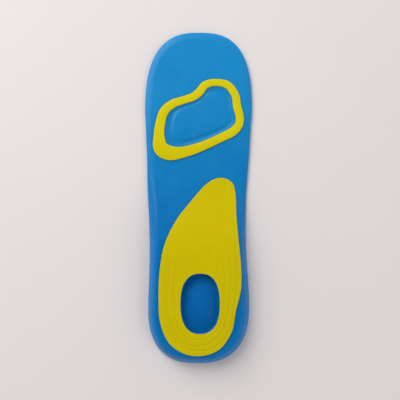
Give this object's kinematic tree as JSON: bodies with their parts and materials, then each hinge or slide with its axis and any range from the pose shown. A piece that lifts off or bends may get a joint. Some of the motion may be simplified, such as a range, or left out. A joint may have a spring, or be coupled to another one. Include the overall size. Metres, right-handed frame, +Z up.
{
  "type": "gel insole",
  "caption": "Full-length gel shoe insole lying gel side up, with a heel cup, a raised ring under the ball of the foot and a contrasting arch-to-heel support with an oval opening.",
  "frame": {"origin": "on the surface the insole lies on, under the middle of its bounding box", "axes": "+X towards the arch side, +Y towards the toes, +Z up out of the gel side, which faces up as in the picture"},
  "size_m": [0.094, 0.288, 0.0152],
  "materials": {
    "blue_gel": "satin",
    "yellow_gel": "satin"
  },
  "bodies": {
    "root": {"gel_body": "blue_gel", "forefoot_ring": "yellow_gel", "arch_heel_support": "yellow_gel"}
  },
  "joints": []
}
